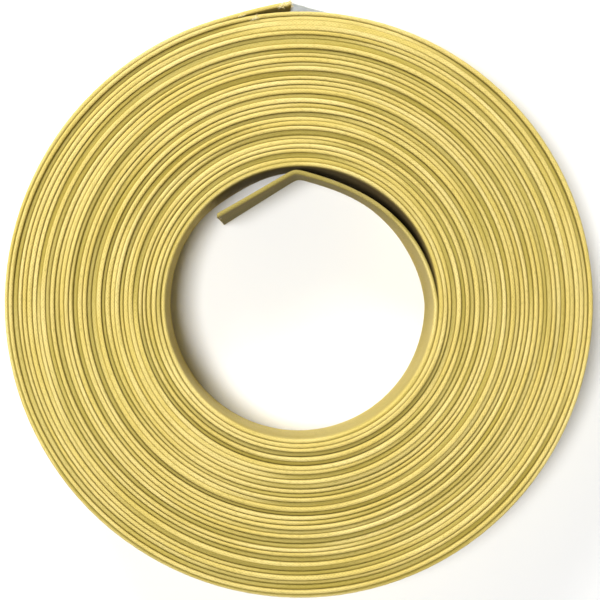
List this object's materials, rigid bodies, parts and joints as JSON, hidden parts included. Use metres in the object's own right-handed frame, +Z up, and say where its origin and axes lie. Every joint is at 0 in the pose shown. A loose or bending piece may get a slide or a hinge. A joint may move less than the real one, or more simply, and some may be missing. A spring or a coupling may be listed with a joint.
{
  "type": "rolled fire hose",
  "caption": "Lay-flat woven fire hose without couplings, rolled on edge round an open centre, with a loose creased inner end and a taped outer end.",
  "frame": {"origin": "in the plane the roll lies on, under the middle of its bounding box; the winding axis stands 0.7 mm towards +X and 2.9 mm towards -Y of it", "axes": "+Z up along the winding axis, from the edge it lies on to the upper edge; +Y towards the outer cut end"},
  "size_m": [0.37, 0.3758, 0.066],
  "materials": {
    "jacket": "plain circular weave, matt with a slight sheen",
    "lining": "smooth, matt",
    "tape": "satin, finely wrinkled"
  },
  "bodies": {
    "coil": {"coil_jacket_1": "jacket", "coil_jacket_2": "jacket", "coil_jacket_3": "jacket", "coil_jacket_4": "jacket", "coil_jacket_5": "jacket", "coil_lining": "lining", "end_tape": "tape"},
    "lap": {"lap_jacket": "jacket", "lap_lining": "lining"},
    "tail": {"tail_jacket": "jacket", "tail_lining": "lining"}
  },
  "joints": [
    {"name": "inner_lap_flex", "type": "hinge", "parent": "coil", "child": "lap", "pos_m": [0.08607, -0.0029, 0.033], "axis": [0, 0, 1], "range_deg": [0, 15], "stiffness_Nm_per_rad": 0.05},
    {"name": "tail_crease", "type": "hinge", "parent": "lap", "child": "tail", "pos_m": [-0.0031, 0.08074, 0.033], "axis": [0, 0, 1], "range_deg": [-4, 35], "stiffness_Nm_per_rad": 0.02}
  ]
}
